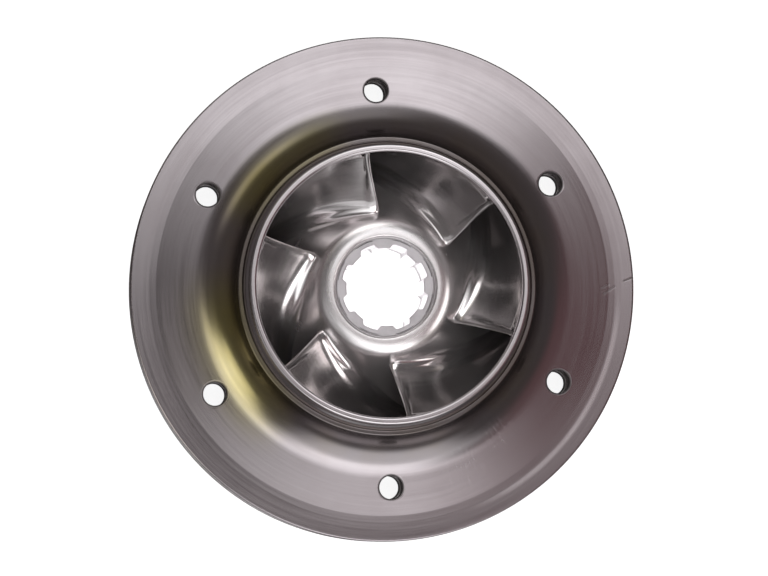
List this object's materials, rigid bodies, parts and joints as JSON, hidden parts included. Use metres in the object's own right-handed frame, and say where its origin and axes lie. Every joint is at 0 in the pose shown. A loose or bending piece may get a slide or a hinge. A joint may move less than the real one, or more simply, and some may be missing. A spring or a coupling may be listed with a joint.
{
  "type": "closed centrifugal pump impeller",
  "caption": "Closed radial pump impeller pressed and welded from stainless sheet, with curved blades, a raised suction eye and a splined bush.",
  "frame": {"origin": "on the shaft axis, in the plane of the back face that the impeller lies on", "axes": "+Z along the shaft axis, out of the suction eye; +X through one of the tooling holes"},
  "size_m": [0.1, 0.1, 0.0258],
  "materials": {
    "front_shroud_steel": "pressed and fine turned",
    "back_shroud_steel": "pressed",
    "neck_ring_steel": "turned",
    "bush_steel": "matt sintered",
    "blade_steel": "rolled"
  },
  "bodies": {
    "root": {"back_shroud": "back_shroud_steel", "front_shroud": "front_shroud_steel", "neck_ring": "neck_ring_steel", "splined_bush": "bush_steel", "blade_1": "blade_steel", "blade_2": "blade_steel", "blade_3": "blade_steel", "blade_4": "blade_steel", "blade_5": "blade_steel", "blade_6": "blade_steel"}
  },
  "joints": []
}
